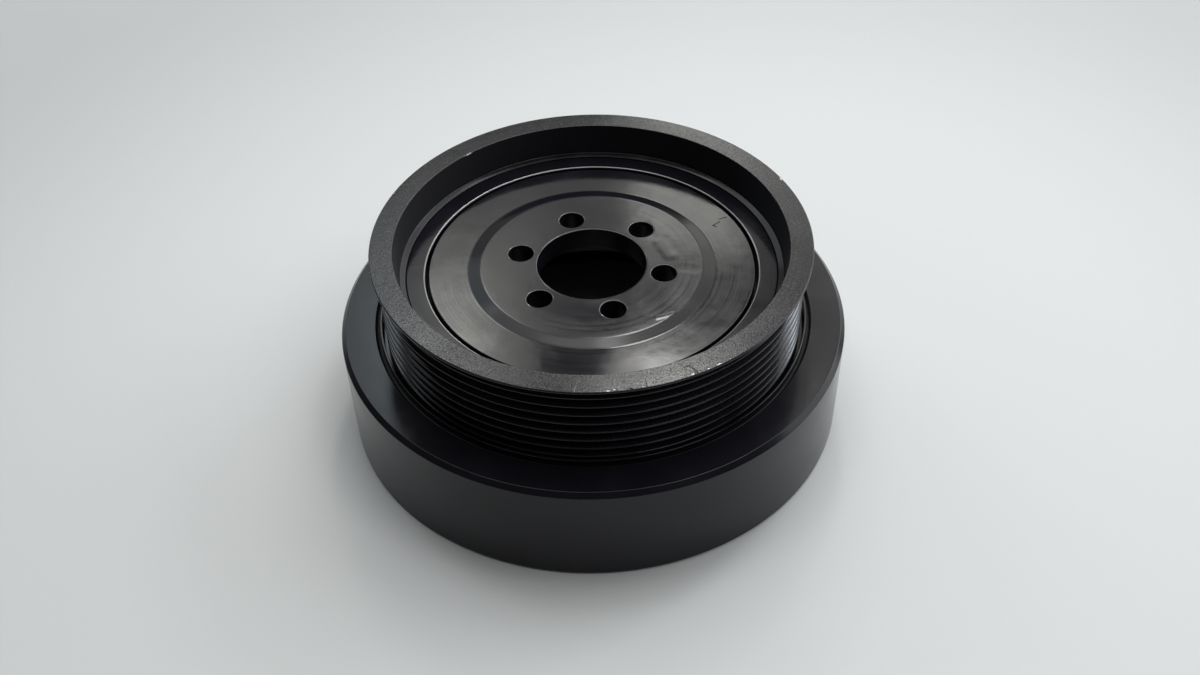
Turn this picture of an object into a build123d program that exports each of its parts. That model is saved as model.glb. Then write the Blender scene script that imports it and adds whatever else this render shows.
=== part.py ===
"""Harmonic balancer: a crankshaft torsional damper with a rubber-coupled belt pulley.

It stands on the back of its heavy ring with the belt pulley up. The axis of turning is Z, and the
origin is the centre of the back face. All sizes are in millimetres.
"""

import os
from math import radians, tan

from build123d import *

# ---- belt pulley
crest_diameter = 140.8
groove_count = 8
groove_pitch = 3.56
groove_angle = 40.0
groove_depth = 3.1
crest_width = 0.6
first_groove_depth = 3.0
last_land_width = 1.8
land_bevel = 0.5
flange_rise = 2.1
rim_face_width = 7.65
rim_edge_bevel = 0.3
recess_depth = 10.8
recess_draft = 6.2
ledge_fall = 0.65
wall_under_crests = 6.8
bore_step = 1.8

# ---- heavy ring, and the rubber ring inside it
ring_height = 37.5
ring_wall = 11.9
ring_front_bevel = 1.5
ring_back_bevel = 1.0
ring_bore_bevel = 0.5
damper_rubber_thickness = 1.2
damper_rubber_set_back = 1.5
damper_rubber_lift = 4.0

# ---- hub
pilot_bore = 36.5
bolt_circle = 49.0
bolt_hole = 8.5
bolt_count = 6
first_bolt_angle = 45.45
hole_bevel = 0.3
centre_depth = 11.2
centre_diameter = 74.4
centre_rise = 0.7
centre_bevel_width = 3.9
plate_gap = 1.05
plate_thickness = 5.0
seat_thickness = 8.0
skirt_wall = 6.0
web_thickness = 5.0
shoulder_gap = 0.75
drum_wall = 6.0
drum_lift = 3.0
lip_clearance = 1.2
lip_wall = 0.8
lip_above_ring = 0.9
lip_cover = 2.4

# ---- channel ring in the pulley's bore, and the rubber ring that it is bonded to
channel_width = 6.5
channel_wall = 2.0
channel_edge_bevel = 0.5
channel_set_down = 0.2
channel_bearing_gap = 0.9
channel_web_gap = 2.4
coupling_rubber_thickness = 9.65
coupling_rubber_gap = 2.0

# ---- plain bearings
bearing_wall = 2.0
bearing_length = 9.5
bearing_play = 0.1
bearing_end_gap = 0.5
washer_thickness = 1.5
washer_rim_gap = 1.0

# ---- radii, from the grooves inwards and then outwards
crest_outer = crest_diameter / 2
rim_outer = crest_outer + flange_rise
rim_mouth = rim_outer - rim_face_width
bearing_outer = crest_outer - wall_under_crests
bearing_inner = bearing_outer - bearing_wall
pulley_inner = bearing_outer - bore_step
channel_inner = pulley_inner - channel_width
plate_outer = channel_inner - plate_gap
skirt_outer = channel_inner - coupling_rubber_thickness
skirt_inner = skirt_outer - skirt_wall
shoulder_outer = bearing_inner - bearing_play
shoulder_inner = channel_inner + channel_wall + shoulder_gap
lip_inner = crest_outer + lip_clearance
drum_outer = lip_inner + lip_wall
drum_inner = drum_outer - drum_wall
ring_inner = drum_outer + damper_rubber_thickness
ring_outer = ring_inner + ring_wall

# ---- heights above the back face
lip_top = ring_height + lip_above_ring
pulley_back = lip_top - lip_cover
last_crest = pulley_back + last_land_width
rim_face = last_crest + (groove_count - 0.5) * groove_pitch + first_groove_depth
recess_floor = rim_face - recess_depth
recess_foot = rim_mouth - recess_depth * tan(radians(recess_draft))
ledge_end = recess_floor - ledge_fall
channel_face = ledge_end - channel_set_down
bearing_top = pulley_back + bearing_length
bearing_seat_end = bearing_top + bearing_end_gap
web_top = pulley_back - washer_thickness
web_back = web_top - web_thickness
channel_inner_end = web_top + channel_web_gap
channel_outer_end = bearing_seat_end + channel_bearing_gap
centre_face = rim_face - centre_depth
plate_face = centre_face - centre_rise
plate_back = plate_face - plate_thickness
seat_face = centre_face - seat_thickness
coupling_rubber_top = plate_back - coupling_rubber_gap


def section(corners):
    """The face inside a closed outline of (radius, height) corners beside Z."""
    with BuildSketch(Plane.XZ) as outline:
        with BuildLine():
            Polyline(*corners, close=True)
        make_face()
    return outline.sketch


def belt_grooves():
    """The grooved wall's corners, from the front flange to the last crest."""
    flank = tan(radians(groove_angle / 2))
    crest_half_gap = (groove_pitch - crest_width) / 2
    root_half_gap = crest_half_gap - groove_depth * flank
    root = crest_outer - groove_depth
    first_groove = rim_face - first_groove_depth
    corners = [(rim_outer, first_groove + crest_half_gap + flange_rise * flank)]
    for groove in range(groove_count):
        middle = first_groove - groove * groove_pitch
        if groove > 0:
            corners.append((crest_outer, middle + crest_half_gap))
        corners.append((root, middle + root_half_gap))
        corners.append((root, middle - root_half_gap))
        corners.append((crest_outer, middle - crest_half_gap))
    return corners


# The heavy ring, whose inertia damps the crankshaft's twisting.
with BuildPart() as inertia_ring:
    with BuildSketch():
        Circle(ring_outer)
        Circle(ring_inner, mode=Mode.SUBTRACT)
    extrude(amount=ring_height)
    back_rims, front_rims = inertia_ring.edges().filter_by(GeomType.CIRCLE).group_by(Axis.Z)
    chamfer(front_rims.sort_by(SortBy.RADIUS)[-1], ring_front_bevel)
    chamfer(back_rims.sort_by(SortBy.RADIUS)[-1], ring_back_bevel)
    bore_rims = inertia_ring.edges().filter_by(GeomType.CIRCLE).sort_by(SortBy.RADIUS)[:2]
    chamfer(bore_rims, ring_bore_bevel)

# The rubber ring squeezed between the hub's drum and the heavy ring.
with BuildPart() as damper_rubber:
    with BuildSketch(Plane.XY.offset(damper_rubber_lift)):
        Circle(ring_inner)
        Circle(drum_outer, mode=Mode.SUBTRACT)
    extrude(amount=ring_height - damper_rubber_set_back - damper_rubber_lift)

# The belt pulley: grooved wall, stepped bore, sloping ledge, tapered recess and rim face.
with BuildPart() as belt_pulley:
    bore_and_face = [
        (crest_outer, pulley_back + land_bevel),
        (crest_outer - land_bevel, pulley_back),
        (bearing_outer, pulley_back),
        (bearing_outer, bearing_seat_end),
        (pulley_inner, bearing_seat_end),
        (pulley_inner, ledge_end),
        (recess_foot, recess_floor),
        (rim_mouth, rim_face),
        (rim_outer - rim_edge_bevel, rim_face),
        (rim_outer, rim_face - rim_edge_bevel),
    ]
    revolve(section(belt_grooves() + bore_and_face), axis=Axis.Z)

# The channel ring: pressed into the pulley's bore, its long inner wall bonded to the rubber.
with BuildPart() as coupling_channel:
    channel = section([
        (pulley_inner, channel_outer_end),
        (pulley_inner, channel_face - channel_edge_bevel),
        (pulley_inner - channel_edge_bevel, channel_face),
        (channel_inner + channel_edge_bevel, channel_face),
        (channel_inner, channel_face - channel_edge_bevel),
        (channel_inner, channel_inner_end),
        (channel_inner + channel_wall, channel_inner_end),
        (channel_inner + channel_wall, channel_face - channel_wall),
        (pulley_inner - channel_wall, channel_face - channel_wall),
        (pulley_inner - channel_wall, channel_outer_end),
    ])
    revolve(channel, axis=Axis.Z)

# The rubber ring through which the hub drives the pulley.
with BuildPart() as coupling_rubber:
    with BuildSketch(Plane.XY.offset(channel_inner_end)):
        Circle(channel_inner)
        Circle(skirt_outer, mode=Mode.SUBTRACT)
    extrude(amount=coupling_rubber_top - channel_inner_end)

# The hub: front plate, skirt, web, bearing shoulder, and the drum with its thin lip.
with BuildPart() as hub:
    wall = section([
        (pilot_bore / 2, seat_face),
        (pilot_bore / 2, centre_face),
        (centre_diameter / 2, centre_face),
        (centre_diameter / 2 + centre_bevel_width, plate_face),
        (plate_outer, plate_face),
        (plate_outer, plate_back),
        (skirt_outer, plate_back),
        (skirt_outer, web_top),
        (shoulder_inner, web_top),
        (shoulder_inner, bearing_top),
        (shoulder_outer, bearing_top),
        (shoulder_outer, web_top),
        (lip_inner, web_top),
        (lip_inner, lip_top),
        (drum_outer, lip_top),
        (drum_outer, drum_lift),
        (drum_inner, drum_lift),
        (drum_inner, web_back),
        (skirt_inner, web_back),
        (skirt_inner, seat_face),
    ])
    revolve(wall, axis=Axis.Z)
    with BuildSketch(Plane.XY.offset(seat_face)):
        with PolarLocations(bolt_circle / 2, bolt_count, start_angle=first_bolt_angle):
            Circle(bolt_hole / 2)
    extrude(amount=seat_thickness, mode=Mode.SUBTRACT)
    front_rims = hub.edges().filter_by(GeomType.CIRCLE).group_by(Axis.Z)[-1]
    chamfer(front_rims.sort_by(SortBy.RADIUS)[: bolt_count + 1], hole_bevel)

# The plain bush pressed into the back of the pulley, running on the hub's shoulder.
with BuildPart() as slide_bearing:
    with BuildSketch(Plane.XY.offset(pulley_back)):
        Circle(bearing_outer)
        Circle(bearing_inner, mode=Mode.SUBTRACT)
    extrude(amount=bearing_length)

# The plain washer that takes the pulley's end thrust on the hub's web.
with BuildPart() as thrust_washer:
    with BuildSketch(Plane.XY.offset(web_top)):
        Circle(crest_outer - washer_rim_gap)
        Circle(bearing_inner, mode=Mode.SUBTRACT)
    extrude(amount=washer_thickness)

inertia_ring.part.label = "inertia_ring"
damper_rubber.part.label = "damper_rubber"
belt_pulley.part.label = "belt_pulley"
coupling_channel.part.label = "coupling_channel"
coupling_rubber.part.label = "coupling_rubber"
hub.part.label = "hub"
slide_bearing.part.label = "slide_bearing"
thrust_washer.part.label = "thrust_washer"

os.makedirs("parts", exist_ok=True)
export_step(inertia_ring.part, "parts/inertia_ring.step")
export_step(damper_rubber.part, "parts/damper_rubber.step")
export_step(belt_pulley.part, "parts/belt_pulley.step")
export_step(coupling_channel.part, "parts/coupling_channel.step")
export_step(coupling_rubber.part, "parts/coupling_rubber.step")
export_step(hub.part, "parts/hub.step")
export_step(slide_bearing.part, "parts/slide_bearing.step")
export_step(thrust_washer.part, "parts/thrust_washer.step")
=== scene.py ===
"""Harmonic balancer: the finished look of a crankshaft damper with a ribbed-belt pulley.

Every turned piece is a section swept round the Z axis, with its corners rounded, and takes its
place and main sizes from the packed frame. Lengths are in metres.
"""

from math import atan2, cos, hypot, pi, radians, sin, tan

import bmesh
import bpy
import numpy as np
from bpy.props import FloatProperty, FloatVectorProperty, IntProperty, PointerProperty
from mathutils import Matrix, Vector
from mathutils.geometry import intersect_point_line
from mathutils.noise import noise as lumps


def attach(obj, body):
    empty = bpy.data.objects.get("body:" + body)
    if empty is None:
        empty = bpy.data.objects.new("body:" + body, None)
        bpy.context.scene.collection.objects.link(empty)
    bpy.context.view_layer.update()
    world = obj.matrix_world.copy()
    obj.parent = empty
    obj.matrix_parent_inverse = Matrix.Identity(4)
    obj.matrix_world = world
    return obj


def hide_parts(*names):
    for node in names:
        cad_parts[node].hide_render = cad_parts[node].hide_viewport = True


bl_info = {
    "name": "Harmonic Balancer",
    "version": (1, 0, 0),
    "blender": (4, 5, 0),
    "location": "3D View > Sidebar > Balancer",
    "description": "Builds a crankshaft damper with a ribbed-belt pulley around its packed frame",
    "category": "Add Mesh",
}

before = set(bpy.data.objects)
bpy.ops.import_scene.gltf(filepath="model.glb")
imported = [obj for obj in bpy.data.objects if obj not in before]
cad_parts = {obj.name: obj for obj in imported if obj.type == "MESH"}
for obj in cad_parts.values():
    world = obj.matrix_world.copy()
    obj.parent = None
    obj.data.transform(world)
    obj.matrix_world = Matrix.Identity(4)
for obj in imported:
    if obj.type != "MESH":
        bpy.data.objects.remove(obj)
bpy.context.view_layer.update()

MM = 0.001
AXIS = (0.0, 0.0)

# How fine the meshes are: the step of a rounded corner's arc, and the faces round each piece.
ARC_STEP = radians(15)
SEGMENTS = 320
PULLEY_SEGMENTS = 344
RING_SEGMENTS = 400
HOLE_SEGMENTS = 72

# Points closer than this are one, within a mesh and between surfaces that were swept apart.
JOIN = 1e-7
WELD = 20 * JOIN


class Span:
    """The inner and outer radius and the lowest and highest point of a turned node of the frame."""

    def __init__(self, node):
        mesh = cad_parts[node].data
        places = np.empty(len(mesh.vertices) * 3, np.float32)
        mesh.vertices.foreach_get("co", places)
        places = places.reshape(-1, 3).astype(float)
        distance = np.hypot(places[:, 0], places[:, 1])
        self.inner = float(distance.min())
        self.outer = float(distance.max())
        self.low = float(places[:, 2].min())
        self.high = float(places[:, 2].max())


PULLEY = Span("belt_pulley")
CHANNEL = Span("coupling_channel")
HUB = Span("hub")
RING = Span("inertia_ring")
DAMPER = Span("damper_rubber")
COUPLING = Span("coupling_rubber")
BUSH = Span("slide_bearing")
WASHER = Span("thrust_washer")


def length(name, description, default):
    """A length property in metres."""
    return FloatProperty(
        name=name,
        description=description,
        default=default,
        min=0,
        precision=5,
        unit="LENGTH",
        subtype="DISTANCE",
    )


def angle(name, description, default):
    """An angle property."""
    return FloatProperty(name=name, description=description, default=default, subtype="ANGLE")


def colour(name, description, default):
    """A linear colour property."""
    return FloatVectorProperty(
        name=name, description=description, default=default, min=0, max=1, size=3, subtype="COLOR"
    )


# ---- sizes and colours


class PulleySizes(bpy.types.PropertyGroup):
    """Sizes of the belt pulley"""

    crest_diameter: length("Crest diameter", "Across the rib crests", 140.8 * MM)
    groove_count: IntProperty(name="Grooves", description="Number of belt grooves", default=8, min=2)
    groove_pitch: length("Groove pitch", "From one groove to the next", 3.56 * MM)
    groove_angle: angle("Groove angle", "Between a groove's flanks", radians(40))
    groove_depth: length("Groove depth", "From crest to root", 3.1 * MM)
    crest_width: length("Crest width", "Across a rib's crest before rounding", 0.6 * MM)
    crest_round: length("Crest rounding", "Radius of a crest's edges", 0.4 * MM)
    root_round: length("Root rounding", "Radius at a groove's root", 0.45 * MM)
    first_groove_depth: length("First groove", "From the rim face to the first groove", 3.0 * MM)
    land_bevel: length("Land bevel", "On the last land's back edge", 0.5 * MM)
    rim_face_width: length("Rim face", "Width of the flat front face", 7.65 * MM)
    rim_edge_bevel: length("Rim edge bevel", "On the rim's outer edge", 0.3 * MM)
    recess_depth: length("Recess depth", "From the rim face to the ledge", 10.8 * MM)
    recess_draft: angle("Recess draft", "Slope of the recess wall", radians(6.2))
    ledge_drop: length("Ledge drop", "From the ledge's foot to the channel", 0.2 * MM)
    seat_length: length("Bush seat", "Length of the seat for the plain bush", 10.0 * MM)
    edge_round: length("Edge rounding", "Radius of the other edges", 0.2 * MM)


class ChannelSizes(bpy.types.PropertyGroup):
    """Sizes of the pressed channel ring"""

    wall: length("Wall", "Sheet thickness", 2.0 * MM)
    bend: length("Bend", "Outer radius of the bend next to the hub", 0.6 * MM)
    seat_bend: length("Seat bend", "Outer radius of the bend next to the pulley", 0.5 * MM)
    inside_bend: length("Inside bend", "Radius of both bends on the inside", 0.3 * MM)
    outer_end: length("Outer wall end", "Height at which the outer wall ends", 46.9 * MM)
    edge_round: length("Edge rounding", "Radius of the sheet's cut edges", 0.2 * MM)


class HubSizes(bpy.types.PropertyGroup):
    """Sizes of the hub"""

    bolt_count: IntProperty(name="Bolts", description="Number of bolt holes", default=6, min=2)
    bolt_circle: length("Bolt circle", "Diameter of the bolt circle", 49.0 * MM)
    bolt_hole: length("Bolt hole", "Diameter of a bolt hole", 8.5 * MM)
    first_bolt_angle: angle("First bolt", "Angle of the first bolt hole", radians(45.45))
    hole_round: length("Hole rounding", "Radius of the bore's and holes' front edges", 0.25 * MM)
    lead_in_width: length("Lead-in width", "Of the slope round the bore and the holes", 0.38 * MM)
    lead_in_depth: length("Lead-in depth", "Of the slope round the bore and the holes", 0.15 * MM)
    lead_in_round: length("Lead-in rounding", "Radius where that slope begins", 0.25 * MM)
    centre_diameter: length("Centre diameter", "Across the raised centre", 74.4 * MM)
    centre_rise: length("Centre rise", "From the plate to the raised centre", 0.7 * MM)
    centre_bevel: length("Centre bevel", "Width of the bevel round the centre", 3.9 * MM)
    centre_round: length("Centre rounding", "Radius along the bevel's edges", 6.0 * MM)
    plate_gap: length("Plate gap", "Between the plate and the channel ring", 1.05 * MM)
    plate_thickness: length("Plate thickness", "Thickness of the front plate", 5.0 * MM)
    seat_thickness: length("Seat thickness", "Thickness over the crankshaft's seat", 8.0 * MM)
    skirt_wall: length("Skirt wall", "Thickness of the skirt", 6.0 * MM)
    web_thickness: length("Web", "Thickness of the web", 5.0 * MM)
    shoulder_wall: length("Shoulder", "Thickness of the bush's shoulder", 3.1 * MM)
    shoulder_play: length("Play", "Between the shoulder and the bush", 0.1 * MM)
    drum_wall: length("Drum wall", "Thickness of the drum", 6.0 * MM)
    lip_wall: length("Lip wall", "Thickness of the drum's lip", 0.8 * MM)
    lip_rise: length("Lip rise", "From the heavy ring's front to the lip's", 0.9 * MM)
    lip_round: length("Lip rounding", "Radius of the lip's edges", 0.25 * MM)
    fillet: length("Fillet", "Radius of the inside corners", 1.0 * MM)
    edge_round: length("Edge rounding", "Radius of the other edges", 0.3 * MM)


class RingSizes(bpy.types.PropertyGroup):
    """Sizes of the heavy ring"""

    front_bevel: length("Front bevel", "On the outer front edge", 1.5 * MM)
    back_bevel: length("Back bevel", "On the outer back edge", 1.0 * MM)
    bore_bevel: length("Bore bevel", "On both edges of the bore", 0.5 * MM)
    edge_round: length("Edge rounding", "Radius along the bevels", 0.35 * MM)


class RubberSizes(bpy.types.PropertyGroup):
    """Shape of the two rubber rings' free ends"""

    hollow: length("Hollow", "How far a free end curves in", 0.35 * MM)
    hollow_round: length("Hollow rounding", "Radius at the hollow's middle", 2.0 * MM)
    edge_round: length("Edge rounding", "Radius of the end's edges", 0.15 * MM)


class BearingSizes(bpy.types.PropertyGroup):
    """Shape of the plain bush and washer"""

    edge_round: length("Edge rounding", "Radius of their edges", 0.25 * MM)


class FinishSettings(bpy.types.PropertyGroup):
    """Colours of the finishes"""

    enamel: colour("Enamel", "Black enamel on the steel", (0.0068, 0.0066, 0.0092))
    # Also the colour of painted highlights at the worn rings round edges.
    bare_steel_and_highlight: colour("Bare steel", "Where the enamel is knocked off or thin", (0.45, 0.45, 0.44))
    scratch: colour("Scratch", "Fine scratches in the enamel", (0.0015, 0.0015, 0.0015))
    rubber: colour("Rubber", "Both rubber rings", (0.012, 0.012, 0.012))
    bearing: colour("Bearing", "Plain bush and washer", (0.045, 0.043, 0.040))
    # Also the colour of painted glints in the rim's grit.
    dust_and_glint: colour("Dust", "Specks and grit on the enamel", (0.20, 0.20, 0.19))


class StageSettings(bpy.types.PropertyGroup):
    """Floor, lamps and camera"""

    floor: colour("Floor", "Floor colour", (0.70, 0.712, 0.708))
    world: FloatProperty(name="World", description="Strength of the even light", default=0.06, min=0)
    lens: length("Lens", "Focal length on a 36 mm sensor", 39.87 * MM)


GROUPS = {
    "pulley": PulleySizes,
    "channel": ChannelSizes,
    "hub": HubSizes,
    "ring": RingSizes,
    "rubber": RubberSizes,
    "bearing": BearingSizes,
    "finish": FinishSettings,
    "stage": StageSettings,
}


def sizes(group):
    """The property group of that name, as the panel shows it."""
    return getattr(bpy.context.scene, "balancer_" + group)


# ---- node trees


class Tree:
    """Adds nodes to a tree and links them as it goes."""

    def __init__(self, tree):
        self.tree = tree
        self.column = 0

    def add(self, kind, inputs=None, **settings):
        """A new node, with its settings made and each input set or linked."""
        node = self.tree.nodes.new(kind)
        node.location = (self.column, 0)
        self.column += 200
        for name, value in settings.items():
            setattr(node, name, value)
        for name, value in (inputs or {}).items():
            self.set(node.inputs[name], value)
        return node

    def set(self, socket, value):
        """Links a socket to another one, to each of several, or gives it a plain value."""
        if isinstance(value, bpy.types.NodeSocket):
            self.tree.links.new(value, socket)
        elif isinstance(value, list):
            for one in value:
                self.tree.links.new(one, socket)
        else:
            socket.default_value = value

    def maths(self, operation, *values, clamp=False):
        """A Math node's result."""
        inputs = dict(enumerate(values))
        return self.add("ShaderNodeMath", inputs, operation=operation, use_clamp=clamp).outputs[0]

    def vector(self, operation, *values, output="Vector"):
        """A Vector Math node's result."""
        inputs = dict(enumerate(values))
        return self.add("ShaderNodeVectorMath", inputs, operation=operation).outputs[output]


def geometry_tree(name, inputs):
    """A new Geometry Nodes tree with its named inputs, and the sockets of those inputs by name."""
    group = bpy.data.node_groups.new(name, "GeometryNodeTree")
    group.interface.new_socket("Geometry", in_out="INPUT", socket_type="NodeSocketGeometry")
    for label, kind in inputs.items():
        group.interface.new_socket(label, in_out="INPUT", socket_type="NodeSocket" + kind)
    group.interface.new_socket("Geometry", in_out="OUTPUT", socket_type="NodeSocketGeometry")
    tree = Tree(group)
    return tree, tree.add("NodeGroupInput").outputs


def picked(tree, geometry, number):
    """The outlines of the object's mesh that carry that number."""
    tag = tree.add("GeometryNodeInputNamedAttribute", {"Name": "outline"}, data_type="INT").outputs[0]
    compare = tree.add("FunctionNodeCompare", {2: tag, 3: number}, data_type="INT", operation="EQUAL")
    separate = tree.add(
        "GeometryNodeSeparateGeometry",
        {"Geometry": geometry, "Selection": compare.outputs[0]},
        domain="POINT",
    )
    return separate.outputs["Selection"]


def moved(tree, geometry, **change):
    """The geometry with a Translation or a Rotation."""
    return tree.add("GeometryNodeTransform", {"Geometry": geometry, **change}).outputs[0]


def upright(tree, height):
    """A vector along Z."""
    return tree.add("ShaderNodeCombineXYZ", {"Z": height}).outputs[0]


def round_line(tree, segments, radius):
    """A circle as a curve."""
    return tree.add(
        "GeometryNodeCurvePrimitiveCircle", {"Resolution": segments, "Radius": radius}
    ).outputs[0]


def repeated(tree, points, instance):
    """A real copy of the instance at each point."""
    copies = tree.add("GeometryNodeInstanceOnPoints", {"Points": points, "Instance": instance}).outputs[0]
    return tree.add("GeometryNodeRealizeInstances", {"Geometry": copies}).outputs[0]


def together(tree, parts):
    """The parts as one geometry."""
    return tree.add("GeometryNodeJoinGeometry", {"Geometry": parts}).outputs[0]


def welded(tree, parts):
    """The parts as one geometry, with touching points made one."""
    inputs = {"Geometry": together(tree, parts), "Distance": WELD}
    return tree.add("GeometryNodeMergeByDistance", inputs).outputs[0]


def turned(tree, outline, segments, path_radius):
    """The outline, drawn as (radius, 0, height), swept round the Z axis."""
    laid_flat = moved(tree, outline, Rotation=(pi / 2, 0, 0))
    back = tree.add("ShaderNodeCombineXYZ", {"X": tree.maths("MULTIPLY", path_radius, -1)}).outputs[0]
    on_path = moved(tree, laid_flat, Translation=back)
    profile = tree.add("GeometryNodeMeshToCurve", {"Mesh": on_path}).outputs[0]
    path = round_line(tree, segments, path_radius)
    level = tree.add("GeometryNodeSetCurveNormal", {"Curve": path}, mode="Z_UP").outputs[0]
    return tree.add("GeometryNodeCurveToMesh", {"Curve": level, "Profile Curve": profile}).outputs[0]


def close_tree(tree, geometry, material):
    """Realizes instances, sets the material and ends the tree."""
    real = tree.add("GeometryNodeRealizeInstances", {"Geometry": geometry}).outputs[0]
    painted = tree.add("GeometryNodeSetMaterial", {"Geometry": real, "Material": material}).outputs[0]
    tree.add("NodeGroupOutput", {"Geometry": painted})
    return tree.tree


def turning_tree():
    """One closed section swept round the axis."""
    inputs = {"Segments": "Int", "Path Radius": "Float", "Material": "Material"}
    tree, given = geometry_tree("turned_ring", inputs)
    ring = turned(tree, given["Geometry"], given["Segments"], given["Path Radius"])
    return close_tree(tree, ring, given["Material"])


def rib_tree():
    """A section whose ribs are one outline, repeated down the wall at the groove pitch."""
    inputs = {
        "Segments": "Int",
        "Path Radius": "Float",
        "Ribs": "Int",
        "Pitch": "Float",
        "Material": "Material",
    }
    tree, given = geometry_tree("ribbed_pulley", inputs)
    step = upright(tree, tree.maths("MULTIPLY", given["Pitch"], -1))
    places = tree.add("GeometryNodeMeshLine", {"Count": given["Ribs"], "Offset": step}).outputs[0]
    ribs = repeated(tree, places, picked(tree, given["Geometry"], 1))
    section = welded(tree, [picked(tree, given["Geometry"], 0), ribs])
    pulley = turned(tree, section, given["Segments"], given["Path Radius"])
    return close_tree(tree, pulley, given["Material"])


def hub_tree():
    """The hub: swept body and bore, bolt-hole walls round the bolt circle, and flats between."""
    inputs = {
        "Segments": "Int",
        "Hole Segments": "Int",
        "Path Radius": "Float",
        "Hole Path Radius": "Float",
        "Bolts": "Int",
        "Bolt Circle Radius": "Float",
        "First Bolt": "Float",
        "Face Outer Radius": "Float",
        "Face Inner Radius": "Float",
        "Face Hole Radius": "Float",
        "Front": "Float",
        "Back": "Float",
        "Material": "Material",
    }
    tree, given = geometry_tree("bored_hub", inputs)
    segments, hole_segments = given["Segments"], given["Hole Segments"]
    outlines, hole_path = given["Geometry"], given["Hole Path Radius"]
    body = turned(tree, picked(tree, outlines, 0), segments, given["Path Radius"])
    bore = turned(tree, picked(tree, outlines, 1), segments, hole_path)
    wall = turned(tree, picked(tree, outlines, 2), hole_segments, hole_path)
    circle = tree.add(
        "GeometryNodeMeshCircle", {"Vertices": given["Bolts"], "Radius": given["Bolt Circle Radius"]}
    ).outputs[0]
    places = moved(tree, circle, Rotation=upright(tree, given["First Bolt"]))
    walls = repeated(tree, places, wall)
    lines = together(
        tree,
        [
            round_line(tree, segments, given["Face Outer Radius"]),
            round_line(tree, segments, given["Face Inner Radius"]),
            repeated(tree, places, round_line(tree, hole_segments, given["Face Hole Radius"])),
        ],
    )
    face = tree.add("GeometryNodeFillCurve", {"Curve": lines}, mode="TRIANGLES").outputs[0]
    front = moved(tree, face, Translation=upright(tree, given["Front"]))
    back = moved(tree, face, Translation=upright(tree, given["Back"]))
    back = tree.add("GeometryNodeFlipFaces", {"Mesh": back}).outputs[0]
    whole = welded(tree, [body, bore, walls, front, back])
    return close_tree(tree, whole, given["Material"])


# ---- sections


def rounded(corners, closed=True):
    """The points of an outline of (radius, height, rounding) corners, with an arc at each rounding."""
    points = []
    count = len(corners)
    for i, (x, z, rounding) in enumerate(corners):
        here = Vector((x, z))
        if not closed and i in (0, count - 1) or rounding <= 0:
            points.append(here)
            continue
        before = Vector(corners[i - 1][:2]) - here
        after = Vector(corners[(i + 1) % count][:2]) - here
        corner = before.angle(after)
        reach = min(rounding / tan(corner / 2), 0.49 * before.length, 0.49 * after.length)
        radius = reach * tan(corner / 2)
        middle = here + (before.normalized() + after.normalized()).normalized() * hypot(reach, radius)
        start = here + before.normalized() * reach - middle
        end = here + after.normalized() * reach - middle
        first = atan2(start.y, start.x)
        sweep = (atan2(end.y, end.x) - first + pi) % (2 * pi) - pi
        steps = max(2, round(abs(sweep) / ARC_STEP))
        for k in range(steps + 1):
            turn = first + sweep * k / steps
            points.append(middle + radius * Vector((cos(turn), sin(turn))))
    return points


def outline_mesh(name, outlines):
    """A mesh of edges from outlines of (points, closed), each numbered in the attribute "outline"."""
    vertices = []
    edges = []
    numbers = []
    for number, (points, closed) in enumerate(outlines):
        start = len(vertices)
        vertices += [(p[0], 0.0, p[1]) for p in points]
        edges += [(start + i, start + i + 1) for i in range(len(points) - 1)]
        if closed:
            edges.append((len(vertices) - 1, start))
        numbers += [number] * len(points)
    mesh = bpy.data.meshes.new(name)
    mesh.from_pydata(vertices, edges, [])
    mesh.attributes.new("outline", "INT", "POINT").data.foreach_set("value", numbers)
    return mesh


def evaluated(name, outlines, tree, inputs):
    """The mesh that a node tree makes of the outlines."""
    source = bpy.data.objects.new(name + "_section", outline_mesh(name + "_section", outlines))
    bpy.context.scene.collection.objects.link(source)
    nodes = source.modifiers.new(tree.name, "NODES")
    nodes.node_group = tree
    sockets = {i.name: i.identifier for i in tree.interface.items_tree if i.in_out == "INPUT"}
    for label, value in inputs.items():
        nodes[sockets[label]] = value
    bpy.context.view_layer.update()
    shown = source.evaluated_get(bpy.context.evaluated_depsgraph_get())
    mesh = bpy.data.meshes.new_from_object(shown)
    bpy.data.objects.remove(source)
    mesh.name = name
    return mesh


def made(name, outlines, tree, inputs):
    """A plain closed mesh from the outlines and a node tree, with its faces outward."""
    mesh = evaluated(name, outlines, tree, inputs)
    solid = bmesh.new()
    solid.from_mesh(mesh)
    bmesh.ops.remove_doubles(solid, verts=solid.verts, dist=JOIN)
    bmesh.ops.recalc_face_normals(solid, faces=solid.faces)
    loose = sum(len(e.link_faces) != 2 for e in solid.edges)
    volume = solid.calc_volume()
    if loose or volume <= 0:
        raise RuntimeError(f"{name} isn't closed: {loose} loose edges, volume {volume}")
    for face in solid.faces:
        face.smooth = True
    solid.to_mesh(mesh)
    solid.free()
    return mesh


def turned_piece(name, corners, material, segments=SEGMENTS):
    """A closed mesh turned from one section."""
    path = min(c[0] for c in corners)
    inputs = {"Segments": segments, "Path Radius": path, "Material": material}
    tree = bpy.data.node_groups.get("turned_ring") or turning_tree()
    return made(name, [(rounded(corners), True)], tree, inputs)


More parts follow.
